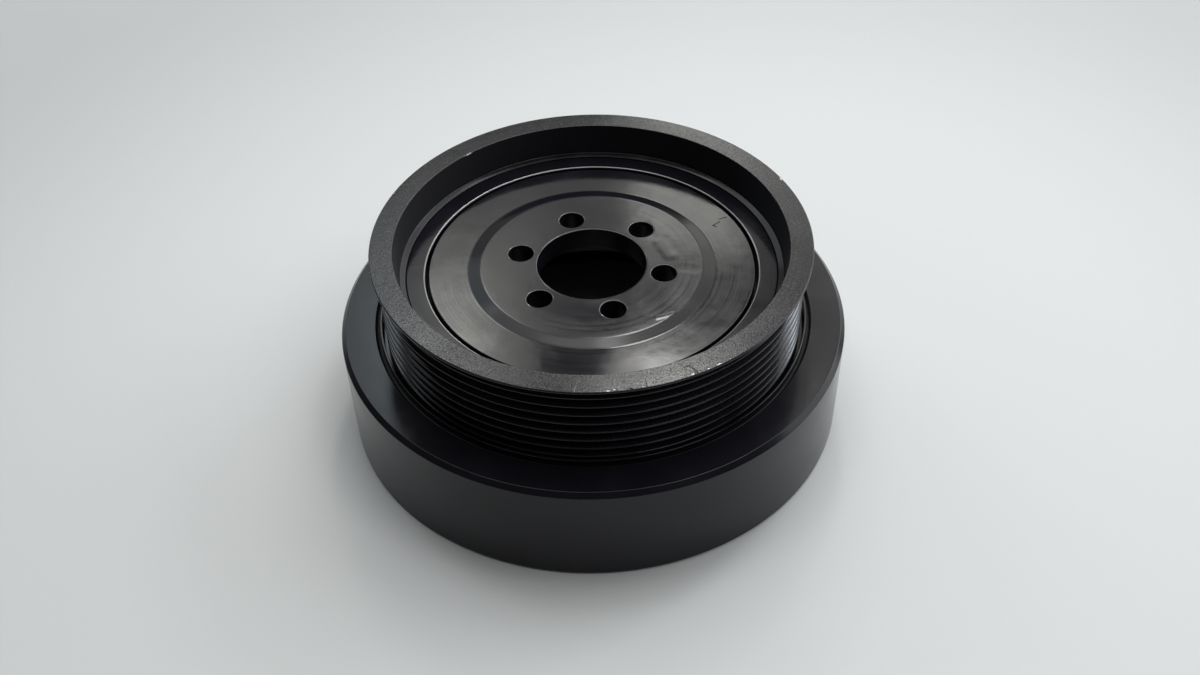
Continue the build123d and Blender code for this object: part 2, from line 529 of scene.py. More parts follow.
def shade(mesh):
    """Smooth normals that follow the broad faces, so flats look flat up to their rounded edges."""
    corner_vertex = np.empty(len(mesh.loops), np.int64)
    mesh.loops.foreach_get("vertex_index", corner_vertex)
    face_corners = np.empty(len(mesh.polygons), np.int64)
    mesh.polygons.foreach_get("loop_total", face_corners)
    areas = np.empty(len(mesh.polygons), np.float32)
    mesh.polygons.foreach_get("area", areas)
    faces = np.empty(len(mesh.polygons) * 3, np.float32)
    mesh.polygons.foreach_get("normal", faces)
    pulls = np.repeat(faces.reshape(-1, 3) * areas[:, None].astype(float) ** 2, face_corners, axis=0)
    normals = np.zeros((len(mesh.vertices), 3))
    np.add.at(normals, corner_vertex, pulls)
    normals /= np.linalg.norm(normals, axis=1)[:, None]
    mesh.normals_split_custom_set_from_vertices(normals.astype(np.float32))


def place(name, mesh, node):
    """The finished piece, which stands for its node of the frame."""
    shade(mesh)
    piece = bpy.data.objects.new(name, mesh)
    bpy.context.scene.collection.objects.link(piece)
    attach(piece, "root")
    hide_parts(node)
    return piece


# ---- materials

# Grains of the finishes, as a Noise Texture's scale, detail, roughness and distortion.
TURNING = (2600, 3, 0.6)
PEEL = (900, 2)
STAINS = (38, 4, 0.6, 0.6)
WAVES = (110, 2)
GRIT = (1500, 3, 0.7)
STEEL_GRAIN = (1900, 2)
RUBBER_GRAIN = (1400, 3)
RUBBER_CLOUDS = (120, 3)
LINING_FLECKS = (2400, 2)
LINING_CLOUDS = (200, 3)
FLOOR_CLOUDS = (6, 2)
FLOOR_GRAIN = (900, 2)

# What a height of 1 stands for in each finish.
ENAMEL_RISE = 0.000006
RUBBER_RISE = 0.00003
LINING_RISE = 0.00001
FLOOR_RISE = 0.00002

PAINT_IOR = 1.42
BAND_FADE = 0.1 * MM
SPECK_SCALE = 260.0


def new_material(name):
    """An empty material, its tree, and its Object coordinates."""
    material = bpy.data.materials.new(name)
    material.use_nodes = True
    material.node_tree.nodes.clear()
    tree = Tree(material.node_tree)
    return material, tree, tree.add("ShaderNodeTexCoord").outputs["Object"]


def noise(tree, where, scale, detail, rough=0.5, distortion=0.0):
    """A Noise Texture's value."""
    inputs = {
        "Vector": where,
        "Scale": scale,
        "Detail": detail,
        "Roughness": rough,
        "Distortion": distortion,
    }
    return tree.add("ShaderNodeTexNoise", inputs).outputs[0]


def between(tree, value, low, high, to_low=0.0, to_high=1.0):
    """The value eased from one range to another."""
    inputs = {"Value": value, "From Min": low, "From Max": high, "To Min": to_low, "To Max": to_high}
    return tree.add("ShaderNodeMapRange", inputs, interpolation_type="SMOOTHSTEP").outputs[0]


def mixed(tree, share, first, second):
    """A colour mixed from two."""
    node = tree.add("ShaderNodeMix", {"Factor": share}, data_type="RGBA")
    for number, tone in ((6, first), (7, second)):
        tree.set(node.inputs[number], tone if isinstance(tone, bpy.types.NodeSocket) else (*tone, 1.0))
    return node.outputs[2]


def lighter(tone, times):
    """The colour, made lighter or darker."""
    return [part * times for part in tone]


def around_axis(tree, where):
    """A place that depends on the distance from the axis and the height alone."""
    parts = tree.add("ShaderNodeSeparateXYZ", {"Vector": where}).outputs
    flat = tree.add("ShaderNodeCombineXYZ", {"X": parts["X"], "Y": parts["Y"]}).outputs[0]
    distance = tree.vector("LENGTH", flat, output="Value")
    return tree.add("ShaderNodeCombineXYZ", {"X": distance, "Z": parts["Z"]}).outputs[0]


def stroke(tree, where, start, end, width, fade):
    """1 along a straight stroke between two points, easing to 0 beyond its width."""
    start, run = Vector(start), Vector(end) - Vector(start)
    from_start = tree.vector("SUBTRACT", where, start)
    along = tree.vector("DOT_PRODUCT", from_start, run / run.length_squared, output="Value")
    share = tree.maths("MULTIPLY", along, 1.0, clamp=True)
    away = tree.vector("DISTANCE", from_start, tree.vector("MULTIPLY", run, share), output="Value")
    return between(tree, away, width, width + fade, 1.0, 0.0)


def band(tree, where, inner, outer, centre=AXIS):
    """1 between two distances from an upright line, easing to 0 at both."""
    flat = tree.vector("MULTIPLY", where, (1.0, 1.0, 0.0))
    distance = tree.vector("DISTANCE", flat, (*centre, 0.0), output="Value")
    start = between(tree, distance, inner, inner + BAND_FADE)
    end = between(tree, distance, outer - BAND_FADE, outer, 1.0, 0.0)
    return tree.maths("MULTIPLY", start, end)


def finish_material(tree, material, base, metallic, rough, height, rise, ior=PAINT_IOR):
    """The material, with its Principled shader and bump."""
    bump = tree.add("ShaderNodeBump", {"Height": height, "Strength": 1.0, "Distance": rise}).outputs[0]
    inputs = {"Base Color": base, "Metallic": metallic, "Roughness": rough, "Normal": bump, "IOR": ior}
    shader = tree.add("ShaderNodeBsdfPrincipled", inputs)
    tree.add("ShaderNodeOutputMaterial", {"Surface": shader.outputs[0]})
    return material


class Enamel:
    """Black enamel over turned steel, to which each method adds a layer."""

    def __init__(self, name, gloss, marks, ior=PAINT_IOR):
        """Stained, dusty enamel of the roughness gloss, over turning marks of the height marks."""
        self.material, self.tree, self.where = new_material(name)
        self.colours = sizes("finish")
        self.ior = ior
        self.bare = 0.0
        tree = self.tree
        turning = noise(tree, around_axis(tree, self.where), *TURNING)
        stains = self.grain(STAINS)
        patches = between(tree, stains, 0.3, 0.75, gloss - 0.03, gloss + 0.05)
        self.rough = tree.maths("ADD", patches, between(tree, turning, 0.3, 0.7, -0.02, 0.03))
        enamel = self.colours.enamel
        self.tone = mixed(tree, between(tree, stains, 0.25, 0.8), enamel, lighter(enamel, 1.5))
        self.tint(tree.maths("MULTIPLY", self.specks(), 0.35), self.colours.dust_and_glint)
        self.height = tree.maths("MULTIPLY", self.grain(PEEL), 0.35)
        self.lift(turning, marks)
        self.lift(self.grain(WAVES), 5.0)

    def grain(self, settings):
        """One of the grains above."""
        return noise(self.tree, self.where, *settings)

    def specks(self):
        """1 at rare small specks."""
        inputs = {"Vector": self.where, "Scale": SPECK_SCALE, "Randomness": 1.0}
        cells = self.tree.add("ShaderNodeTexVoronoi", inputs).outputs
        chance = self.tree.add("ShaderNodeSeparateColor", {"Color": cells["Color"]}).outputs[0]
        dots = between(self.tree, cells["Distance"], 0.02, 0.06, 1, 0)
        return self.tree.maths("MULTIPLY", dots, between(self.tree, chance, 0.93, 0.95))

    def tint(self, share, tone):
        """Mixes in a colour."""
        self.tone = mixed(self.tree, share, self.tone, tone)

    def roughen(self, share, amount):
        """Adds roughness."""
        self.rough = self.tree.maths("MULTIPLY_ADD", share, amount, self.rough)

    def lift(self, share, amount):
        """Adds height, or takes it away."""
        self.height = self.tree.maths("MULTIPLY_ADD", share, amount, self.height)

    def show_steel_and_highlight(self, bare):
        """Shows the steel by that share: real steel at knocks, and at worn rings a painted highlight as
        well.
        """
        self.bare = bare
        self.tint(bare, self.colours.bare_steel_and_highlight)

    def dull(self, inner, outer):
        """Makes the enamel matt between two distances from the axis."""
        self.roughen(band(self.tree, self.where, inner, outer), 0.75)

    def grit(self, height, level):
        """Grit of that height above that level, and a tenth of it below, whose pale specks are dirt and
        painted glints.
        """
        tree = self.tree
        up = tree.add("ShaderNodeSeparateXYZ", {"Vector": self.where}).outputs["Z"]
        share = between(tree, up, level - 0.5 * MM, level, 0.1, 1.0)
        grains = self.grain(GRIT)
        pale = between(tree, grains, 0.52, 0.66, 0.0, 0.13)
        self.lift(tree.maths("MULTIPLY", grains, share), height)
        # Painted glints: the pale specks mixed into the colour stand in for the enamel's sparkle in
        # highlights, besides dirt.
        self.tint(tree.maths("MULTIPLY", pale, share), self.colours.dust_and_glint)
        self.roughen(share, between(tree, grains, 0.36, 0.5, 0.16, 0.0))

    def ripple(self, start, end, width, fade, rise):
        """A soft stroke, raised or sunk."""
        self.lift(stroke(self.tree, self.where, start, end, width, fade), rise)

    def scratch(self, start, end, width):
        """A fine dark scratch."""
        line = stroke(self.tree, self.where, start, end, width, width)
        self.tint(self.tree.maths("MULTIPLY", line, 0.9), self.colours.scratch)
        self.roughen(line, 0.5)
        self.lift(line, -2.0)

    def wear_and_highlight(self, rings, share):
        """Thins the enamel in rings, each of a centre and two radii, so that a share of steel shows; the
        pale rings also paint the highlights of the edges they follow.
        """
        bare = 0.0
        for centre, inner, outer in rings:
            ring = band(self.tree, self.where, inner, outer, centre)
            bare = self.tree.maths("MULTIPLY_ADD", ring, share, bare)
        self.show_steel_and_highlight(bare)

    def knock(self):
        """Bare, grainy steel where the mesh's attribute "knocks" says so."""
        knocks = self.tree.add("ShaderNodeAttribute", attribute_name="knocks").outputs["Fac"]
        # The grain gives the bare spot a ragged edge.
        depth = self.tree.maths("MULTIPLY_ADD", self.grain(STEEL_GRAIN), 1.3, knocks)
        self.show_steel_and_highlight(between(self.tree, depth, 1.18, 1.48))
        self.roughen(self.bare, 0.2)

    def finished(self):
        """The material with all its layers."""
        layers = (self.tone, self.bare, self.rough, self.height)
        return finish_material(self.tree, self.material, *layers, ENAMEL_RISE, self.ior)


def soft_rubber(name):
    """Black rubber with a faint grain."""
    material, tree, where = new_material(name)
    grain = noise(tree, where, *RUBBER_GRAIN)
    clouds = noise(tree, where, *RUBBER_CLOUDS)
    base = sizes("finish").rubber
    tone = mixed(tree, between(tree, clouds, 0.3, 0.7), base, lighter(base, 1.7))
    rough = between(tree, grain, 0.3, 0.7, 0.6, 0.78)
    return finish_material(tree, material, tone, 0.0, rough, grain, RUBBER_RISE)


def bearing_lining(name):
    """Dark filled plastic of the plain bush and washer."""
    material, tree, where = new_material(name)
    flecks = noise(tree, where, *LINING_FLECKS)
    clouds = noise(tree, where, *LINING_CLOUDS)
    base = sizes("finish").bearing
    tone = mixed(tree, between(tree, flecks, 0.45, 0.75), base, lighter(base, 1.8))
    rough = between(tree, clouds, 0.3, 0.7, 0.42, 0.55)
    return finish_material(tree, material, tone, 0.0, rough, flecks, LINING_RISE)


# ---- knocks

# Knocks on the rim face: angle in degrees; then in millimetres the distance in from the outer
# edge, half length along it, half width across it and depth; and how bare the steel is.
KNOCKS = [
    (-94.8, 0.6, 0.35, 0.25, 0.10, 0.6),
    (-86.9, 0.7, 0.8, 0.45, 0.14, 0.95),
    (-85.5, 0.9, 0.5, 0.35, 0.10, 0.8),
    (-81.9, 0.6, 0.9, 0.4, 0.18, 0.2),
    (-78.0, 0.6, 0.35, 0.25, 0.10, 0.6),
    (-66.4, 0.8, 0.9, 0.45, 0.15, 0.95),
    (-64.7, 0.9, 0.5, 0.35, 0.10, 0.8),
    (-62.4, 0.7, 1.0, 0.35, 0.12, 0.9),
    (-59.4, 0.7, 1.3, 0.4, 0.15, 1.0),
    (-56.2, 0.6, 0.5, 0.3, 0.10, 0.7),
    (-66.0, 4.4, 1.0, 0.35, 0.10, 0.4),
    (-67.3, 3.8, 0.35, 0.7, 0.10, 0.3),
    (24.0, 0.5, 1.2, 0.5, 0.20, 0.8),
    (78.0, 0.6, 0.7, 0.4, 0.12, 0.6),
    (158.0, 0.5, 1.0, 0.45, 0.16, 0.7),
    # This knock's bare steel is also a painted glint on the bruised inner edge.
    (131.0, 7.6, 2.2, 0.45, 0.22, 0.9),
    (-12.0, 7.6, 0.8, 0.4, 0.12, 0.6),
]

# Only faces within this depth of the rim face are cut finer.
RIM_BAND = 1.5 * MM
# Edges longer than this are halved near a knock, in at most this many rounds.
KNOCK_EDGE = 0.16 * MM
KNOCK_ROUNDS = 8
# No edge that passes by a knock has both its ends farther from the knock than this.
KNOCK_SEARCH = 9 * MM
# Faces are cut finer out to FINE_REACH times a knock's half length, and only vertices within
# PRESS_REACH times that are looked at.
FINE_REACH = 1.1
PRESS_REACH = 1.5
# Lumps that make a knock's outline uneven: how many to a metre, and how strong.
LUMP_SCALE = 2500
LUMP_STRENGTH = 0.35


def distance_to_edge(edge, place_at):
    """How far a place is from an edge."""
    start, end = (v.co for v in edge.verts)
    share = intersect_point_line(place_at, start, end)[1]
    return (start.lerp(end, min(max(share, 0), 1)) - place_at).length


def cut_finer(rim, middle, reach):
    """Halves the rim's edges within reach of a place until they are short."""
    for _ in range(KNOCK_ROUNDS):
        near = [v for v in rim.verts if (v.co - middle).length < KNOCK_SEARCH]
        edges = dict.fromkeys(e for v in near for e in v.link_edges)
        long = [e for e in edges if e.calc_length() > KNOCK_EDGE and distance_to_edge(e, middle) < reach]
        if not long:
            break
        bmesh.ops.subdivide_edges(rim, edges=long, cuts=1, use_grid_fill=True)


def press_knock(rim, knock, outer, top):
    """Presses one knock into the rim's faces, and notes how bare it is."""
    turn, inset, half_length, half_width, depth, bare = knock
    out = Vector((cos(radians(turn)), sin(radians(turn)), 0))
    along = Vector((-out.y, out.x, 0))
    middle = out * (outer - inset * MM) + Vector((0, 0, top))
    reach = max(half_length, half_width) * MM * FINE_REACH
    cut_finer(rim, middle, reach)
    layer = rim.verts.layers.float["knocks"]
    for v in rim.verts:
        off = v.co - middle
        if off.length > reach * PRESS_REACH:
            continue
        run = off.dot(along)
        across = off - along * run
        share = (run / (half_length * MM)) ** 2 + across.length_squared / (half_width * MM) ** 2
        share += LUMP_STRENGTH * lumps(v.co * LUMP_SCALE)
        if share < 1:
            strength = 1 - max(share, 0)
            v.co.z -= depth * MM * strength**1.5
            v[layer] = max(v[layer], bare * strength**0.5)


def knock_rim(mesh, outer, top):
    """Presses the knocks into the rim, with finer faces round them."""
    rest = bmesh.new()
    rest.from_mesh(mesh)
    rest.verts.layers.float.new("knocks")
    rim = rest.copy()
    for part, wanted in ((rest, False), (rim, True)):
        others = [f for f in part.faces if (max(v.co.z for v in f.verts) > top - RIM_BAND) != wanted]
        bmesh.ops.delete(part, geom=others, context="FACES")
    for knock in KNOCKS:
        press_knock(rim, knock, outer, top)
    bmesh.ops.triangulate(rim, faces=[f for f in rim.faces if len(f.verts) > 4])
    knocked = bpy.data.meshes.new("knocked_rim")
    rim.to_mesh(knocked)
    rim.free()
    rest.from_mesh(knocked)
    bpy.data.meshes.remove(knocked)
    bmesh.ops.remove_doubles(rest, verts=[v for v in rest.verts if v.is_boundary], dist=JOIN)
    if any(len(e.link_faces) != 2 for e in rest.edges):
        raise RuntimeError(f"{mesh.name} has open edges after its knocks")
    rest.to_mesh(mesh)
    rest.free()


# ---- pieces


def recess_radii():
    """The radii of the pulley's recess at its foot and at its mouth."""
    p = sizes("pulley")
    mouth = PULLEY.outer - p.rim_face_width
    return mouth - p.recess_depth * tan(p.recess_draft), mouth


def pulley_outlines():
    """The pulley's section without its ribs, and one rib from root to root."""
    p = sizes("pulley")
    crest = p.crest_diameter / 2
    flank = tan(p.groove_angle / 2)
    root = crest - p.groove_depth
    crest_half_gap = (p.groove_pitch - p.crest_width) / 2
    root_half_gap = crest_half_gap - p.groove_depth * flank
    first = PULLEY.high - p.first_groove_depth
    last = first - (p.groove_count - 1) * p.groove_pitch
    foot, mouth = recess_radii()
    floor = PULLEY.high - p.recess_depth
    seat_end = PULLEY.low + p.seat_length
    edge = p.edge_round
    broad_edge = edge * 1.5
    body = rounded(
        [
            (root, last, 0),
            (root, last - root_half_gap, p.root_round),
            (crest, last - crest_half_gap, p.crest_round),
            (crest, PULLEY.low + p.land_bevel, edge),
            (crest - p.land_bevel, PULLEY.low, edge),
            (BUSH.outer, PULLEY.low, edge),
            (BUSH.outer, seat_end, 0),
            (PULLEY.inner, seat_end, edge),
            (PULLEY.inner, CHANNEL.high + p.ledge_drop, edge),
            (foot, floor, broad_edge),
            (mouth, PULLEY.high, broad_edge),
            (PULLEY.outer - p.rim_edge_bevel, PULLEY.high, edge),
            (PULLEY.outer, PULLEY.high - p.rim_edge_bevel, edge),
            (PULLEY.outer, first + crest_half_gap + (PULLEY.outer - crest) * flank, broad_edge),
            (root, first + root_half_gap, p.root_round),
            (root, first, 0),
        ],
        closed=False,
    )
    rib = rounded(
        [
            (root, first, 0),
            (root, first - root_half_gap, p.root_round),
            (crest, first - crest_half_gap, p.crest_round),
            (crest, first - crest_half_gap - p.crest_width, p.crest_round),
            (root, first - p.groove_pitch + root_half_gap, p.root_round),
            (root, first - p.groove_pitch, 0),
        ],
        closed=False,
    )
    return [(body, False), (rib, False)]


def build_pulley():
    """The belt pulley, with knocks along its rim."""
    p = sizes("pulley")
    paint = Enamel("pulley_paint_enamel", gloss=0.14, marks=0.6)
    paint.dull(*recess_radii())
    # On the rim: grit, whose pale specks are also painted glints.
    paint.grit(4.5, PULLEY.high - 0.2 * MM)
    paint.knock()
    inputs = {
        "Segments": PULLEY_SEGMENTS,
        "Path Radius": PULLEY.inner,
        "Ribs": p.groove_count - 1,
        "Pitch": p.groove_pitch,
        "Material": paint.finished(),
    }
    mesh = made("ribbed_pulley", pulley_outlines(), rib_tree(), inputs)
    knock_rim(mesh, PULLEY.outer, PULLEY.high)
    place("ribbed_pulley", mesh, "belt_pulley")


def build_channel():
    """The pressed ring between the pulley and the hub plate."""
    c = sizes("channel")
    paint = Enamel("channel_paint_enamel", gloss=0.16, marks=0.3, ior=1.25)
    # A pale ring of steel along the inner bend: thin enamel and a painted highlight on the bend.
    paint.wear_and_highlight([(AXIS, CHANNEL.inner + 0.1 * MM, CHANNEL.inner + 0.62 * MM)], 0.5)
    inner_bend = max(c.bend - c.wall, c.inside_bend)
    edge = c.edge_round
    corners = [
        (CHANNEL.outer, c.outer_end, edge),
        (CHANNEL.outer, CHANNEL.high, c.seat_bend),
        (CHANNEL.inner, CHANNEL.high, c.bend),
        (CHANNEL.inner, CHANNEL.low, edge),
        (CHANNEL.inner + c.wall, CHANNEL.low, edge),
        (CHANNEL.inner + c.wall, CHANNEL.high - c.wall, inner_bend),
        (CHANNEL.outer - c.wall, CHANNEL.high - c.wall, inner_bend),
        (CHANNEL.outer - c.wall, c.outer_end, edge),
    ]
    mesh = turned_piece("pressed_channel", corners, paint.finished())
    place("pressed_channel", mesh, "coupling_channel")


# Faint dents in the hub's raised centre: start and end, half width, fade and rise.
DENTS = [
    ((0.0222, 0.0200), (0.0245, 0.0150), 0.0004, 0.0034, 4.5),
    ((0.0233, 0.0105), (0.0262, 0.0030), 0.0004, 0.0032, 4.5),
    ((0.0298, -0.0038), (0.0340, -0.0048), 0.0003, 0.0026, -3),
    ((0.0203, -0.0282), (0.0254, -0.0264), 0.0002, 0.0012, 9),
    ((0.0270, -0.0160), (0.0300, -0.0185), 0.0003, 0.0030, 2),
]

# The hairline scratch on the hub's plate: start, end and half width of each stretch.
SCRATCHES = [
    ((0.0432, 0.0187), (0.0421, 0.0195), 0.00016),
    ((0.0421, 0.0195), (0.0446, 0.0215), 0.00012),
    ((0.0446, 0.0230), (0.0472, 0.0240), 0.00012),
]

# The hub's flat faces end this far inside the edge of its raised centre, and this far beyond the
# slope round its bore and bolt holes.
FACE_MARGIN = 4 * MM
HOLE_MARGIN = 0.14 * MM


def hub_paint():
    """The hub's enamel, dented and scratched, and thin round the bore and the bolt holes, where the pale
    rings of steel also paint the edges' highlights.
    """
    h = sizes("hub")
    plate = HUB.high - h.centre_rise
    paint = Enamel("hub_paint_enamel", gloss=0.115, marks=0.3)
    for start, end, width, fade, rise in DENTS:
        paint.ripple((*start, HUB.high), (*end, HUB.high), width, fade, rise)
    for start, end, width in SCRATCHES:
        paint.scratch((*start, plate), (*end, plate), width)
    openings = [(AXIS, HUB.inner)]
    for i in range(h.bolt_count):
        turn = h.first_bolt_angle + 2 * pi * i / h.bolt_count
        centre = (h.bolt_circle / 2 * cos(turn), h.bolt_circle / 2 * sin(turn))
        openings.append((centre, h.bolt_hole / 2))
    # Pale rings of steel round the openings: worn enamel and painted edge highlights.
    start, end = 0.02 * MM, h.hole_round + 0.1 * MM
    paint.wear_and_highlight([(centre, radius + start, radius + end) for centre, radius in openings], 0.18)
    return paint.finished()


def hub_body(face_outer, seat):
    """The hub's section, from its front face's outer end round the outside to its seat."""
    h = sizes("hub")
    centre = h.centre_diameter / 2
    plate = HUB.high - h.centre_rise
    plate_outer = CHANNEL.inner - h.plate_gap
    plate_back = plate - h.plate_thickness
    skirt_outer = COUPLING.inner
    skirt_inner = skirt_outer - h.skirt_wall
    shoulder_outer = BUSH.inner - h.shoulder_play
    shoulder_inner = shoulder_outer - h.shoulder_wall
    web_top = WASHER.low
    web_back = web_top - h.web_thickness
    lip_inner = HUB.outer - h.lip_wall
    lip_top = RING.high + h.lip_rise
    drum_inner = HUB.outer - h.drum_wall
    edge = h.edge_round
    corners = [
        (face_outer, HUB.high, 0),
        (centre, HUB.high, h.centre_round),
        (centre + h.centre_bevel, plate, h.centre_round),
        (plate_outer, plate, edge),
        (plate_outer, plate_back, edge),
        (skirt_outer, plate_back, h.fillet),
        (skirt_outer, web_top, h.fillet),
        (shoulder_inner, web_top, h.fillet),
        (shoulder_inner, BUSH.high, edge),
        (shoulder_outer, BUSH.high, edge),
        (shoulder_outer, web_top, edge),
        (lip_inner, web_top, edge),
        (lip_inner, lip_top, h.lip_round),
        (HUB.outer, lip_top, h.lip_round),
        (HUB.outer, HUB.low, edge),
        (drum_inner, HUB.low, edge),
        (drum_inner, web_back, h.fillet),
        (skirt_inner, web_back, edge),
        (skirt_inner, seat, h.fillet),
        (face_outer, seat, 0),
    ]
    return rounded(corners, closed=False)


def hub_opening(radius, margin, seat):
    """The wall of the bore or a bolt hole, with its slope at the front."""
    h = sizes("hub")
    corners = [
        (radius + margin, HUB.high, 0),
        (radius + h.lead_in_width, HUB.high, h.lead_in_round),
        (radius, HUB.high - h.lead_in_depth, h.hole_round),
        (radius, seat, h.edge_round),
        (radius + margin, seat, 0),
    ]
    return rounded(corners, closed=False)


def build_hub():
    """The hub, with its bore and bolt holes."""
    h = sizes("hub")
    face_outer = h.centre_diameter / 2 - FACE_MARGIN
    margin = h.lead_in_width + HOLE_MARGIN
    seat = HUB.high - h.seat_thickness
    hole = h.bolt_hole / 2
    outlines = [
        (hub_body(face_outer, seat), False),
        (hub_opening(HUB.inner, margin, seat), False),
        (hub_opening(hole, margin, seat), False),
    ]
    inputs = {
        "Segments": SEGMENTS,
        "Hole Segments": HOLE_SEGMENTS,
        "Path Radius": face_outer,
        "Hole Path Radius": hole,
        "Bolts": h.bolt_count,
        "Bolt Circle Radius": h.bolt_circle / 2,
        "First Bolt": h.first_bolt_angle,
        "Face Outer Radius": face_outer,
        "Face Inner Radius": HUB.inner + margin,
        "Face Hole Radius": hole + margin,
        "Front": HUB.high,
        "Back": seat,
        "Material": hub_paint(),
    }
    place("bored_hub", made("bored_hub", outlines, hub_tree(), inputs), "hub")


def build_ring():
    """The heavy ring."""
    r = sizes("ring")
    paint = Enamel("ring_paint_enamel", gloss=0.17, marks=0.5, ior=1.38)
    edge = r.edge_round
    corners = [
        (RING.inner + r.bore_bevel, RING.low, edge / 2),
        (RING.outer - r.back_bevel, RING.low, edge),
        (RING.outer, RING.low + r.back_bevel, edge),
        (RING.outer, RING.high - r.front_bevel, edge),
        (RING.outer - r.front_bevel, RING.high, edge),
        (RING.inner + r.bore_bevel, RING.high, edge / 2),
        (RING.inner, RING.high - r.bore_bevel, edge / 2),
        (RING.inner, RING.low + r.bore_bevel, edge / 2),
    ]
    mesh = turned_piece("heavy_ring", corners, paint.finished(), RING_SEGMENTS)
    place("heavy_ring", mesh, "inertia_ring")


def rubber_section(span):
    """A rubber ring's section, with its free ends curved in between the bonded walls."""
    s = sizes("rubber")
    middle = (span.inner + span.outer) / 2
    edge = s.edge_round
    return [
        (span.inner, span.low, edge),
        (middle, span.low + s.hollow, s.hollow_round),
        (span.outer, span.low, edge),
        (span.outer, span.high, edge),
        (middle, span.high - s.hollow, s.hollow_round),
        (span.inner, span.high, edge),
    ]


def build_rubber():
    """The damper's and the coupling's rubber rings."""
    rubber = soft_rubber("ring_rubber")
    for name, span, node in (
        ("damper_ring_rubber", DAMPER, "damper_rubber"),
        ("coupling_ring_rubber", COUPLING, "coupling_rubber"),
    ):
        place(name, turned_piece(name, rubber_section(span), rubber), node)


def build_bearings():
    """The plain bush and the thrust washer."""
    lining = bearing_lining("bearing_lining")
    edge = sizes("bearing").edge_round
    for name, span, node in (
        ("plain_bush", BUSH, "slide_bearing"),
        ("plain_washer", WASHER, "thrust_washer"),
    ):
        corners = [
            (span.inner, span.low, edge),
            (span.outer, span.low, edge),
            (span.outer, span.high, edge),
            (span.inner, span.high, edge),
        ]
        place(name, turned_piece(name, corners, lining), node)


# ---- stage

# Tints of the light: lamps, painted walls, and daylight from a window.
WHITE = (1.0, 1.0, 1.0)
CREAM = (1.0, 1.0, 0.94)
LAMP = (1.0, 1.0, 0.96)
WALL = (1.0, 1.0, 0.97)
SKY = (0.86, 0.94, 1.0)
PALE_SKY = (0.95, 0.98, 1.0)

# Soft panels round the object: name, azimuths and elevations in degrees, glow, tint.
PANELS = [
    ("back_low", (60, 122), (20, 33), 0.2, WALL),
    ("back_top", (60, 122), (50, 62), 0.95, WALL),
    ("left_wall", (122, 142), (22, 42), 2.0, SKY),
    ("left_high", (122, 150), (46, 62), 1.1, (0.92, 0.97, 1.0)),
    ("left_back", (107, 122), (33, 50), 0.7, (0.86, 0.95, 1.0)),
    ("left_panel", (94, 97.5), (41, 47), 1.7, CREAM),
    ("left_panel_high", (97.5, 102), (41, 47), 6.0, CREAM),
    ("left_edge", (102, 107), (39, 47), 1.9, (0.80, 0.92, 1.0)),
    ("left_panel_middle", (93, 102), (38.5, 41), 1.5, CREAM),
    ("left_panel_low", (93, 107), (35, 38.5), 0.8, CREAM),
    ("middle_low", (86, 93), (34, 39.5), 0.6, CREAM),
    ("middle", (88.4, 93), (39.5, 43), 0.4, CREAM),
    ("right_panel", (77, 80.5), (28, 40), 1.2, CREAM),
    ("right_panel_left", (80.5, 87), (28, 40), 3.2, CREAM),
    ("lamp_skirt", (79, 88), (41.5, 44), 0.3, CREAM),
    ("lamp_core", (80.2, 87.8), (46.5, 54), 12.5, LAMP),
    ("lamp_top", (79, 88.4), (54, 66), 2.6, LAMP),
    ("lamp_left", (84, 87.8), (45.2, 46.5), 15.0, LAMP),
    ("lamp_right", (80, 84), (45, 46.5), 6.5, LAMP),
    ("right_back", (60, 77), (40, 50), 0.8, CREAM),
    ("right_back_low", (60, 76), (24, 40), 1.05, CREAM),
    ("right_wall", (-10, 60), (4, 45), 1.45, PALE_SKY),
    ("right_low", (35, 60), (20, 40), 0.45, WHITE),
    ("right_middle", (40, 47), (35, 44), 8.0, (0.84, 0.92, 1.0)),
    ("right_high", (38, 58), (48, 64), 4.5, PALE_SKY),
    ("side_window", (14, 40), (14, 32), 1.35, SKY),
    ("low_window", (60, 90), (3, 20), 0.6, WHITE),
    ("low_glare", (68, 84), (6, 14), 6.0, WHITE),
    ("ceiling", (0, 180), (62, 90), 1.95, WHITE),
    ("front_ceiling", (180, 360), (66, 90), 0.3, WHITE),
    ("near_right", (-60, -10), (45, 66), 1.7, WHITE),
]
PANEL_DISTANCE = 2.4
PANEL_AIM = (0, 0, 0.04)

# The floor is a square of twice this size. Its colour darkens between two distances from its light
# middle: painted shade, standing in for the light falling off away from the object.
FLOOR_HALF = 3.0
FLOOR_MIDDLE = (0.04, -0.02, 0.0)
FLOOR_NEAR = 0.15
FLOOR_FAR = 0.42
FLOOR_PAINTED_FALLOFF = 0.72

# Where the camera stands, how far it turns from the Y axis, how far it looks down, and its tilt.
CAMERA_PLACE = (0, -0.3428, 0.3373)
CAMERA_YAW = radians(0.37)
CAMERA_PITCH = radians(42.56)
CAMERA_ROLL = radians(1.27)


def aimed(place_at, target):
    """A turn that points a lamp's -Z from one place to another."""
    return (Vector(target) - Vector(place_at)).to_track_quat("-Z", "Y").to_matrix().to_4x4()


def soft_panel(name, azimuths, elevations, glow, tint):
    """A flat soft lamp that fills a range of directions from the object, with an even glow."""
    azimuth, elevation = (radians(sum(pair) / 2) for pair in (azimuths, elevations))
    flat = cos(elevation)
    at = Vector((cos(azimuth) * flat, sin(azimuth) * flat, sin(elevation))) * PANEL_DISTANCE
    lamp = bpy.data.lights.new(name, "AREA")
    lamp.shape = "RECTANGLE"
    lamp.size = 2 * PANEL_DISTANCE * tan(radians(azimuths[1] - azimuths[0]) / 2 * flat)
    lamp.size_y = 2 * PANEL_DISTANCE * tan(radians(elevations[1] - elevations[0]) / 2)
    lamp.energy = 4 * glow * lamp.size * lamp.size_y
    lamp.color = tint
    holder = bpy.data.objects.new(name, lamp)
    holder.visible_camera = False
    bpy.context.scene.collection.objects.link(holder)
    holder.matrix_world = Matrix.Translation(at) @ aimed(at, PANEL_AIM)


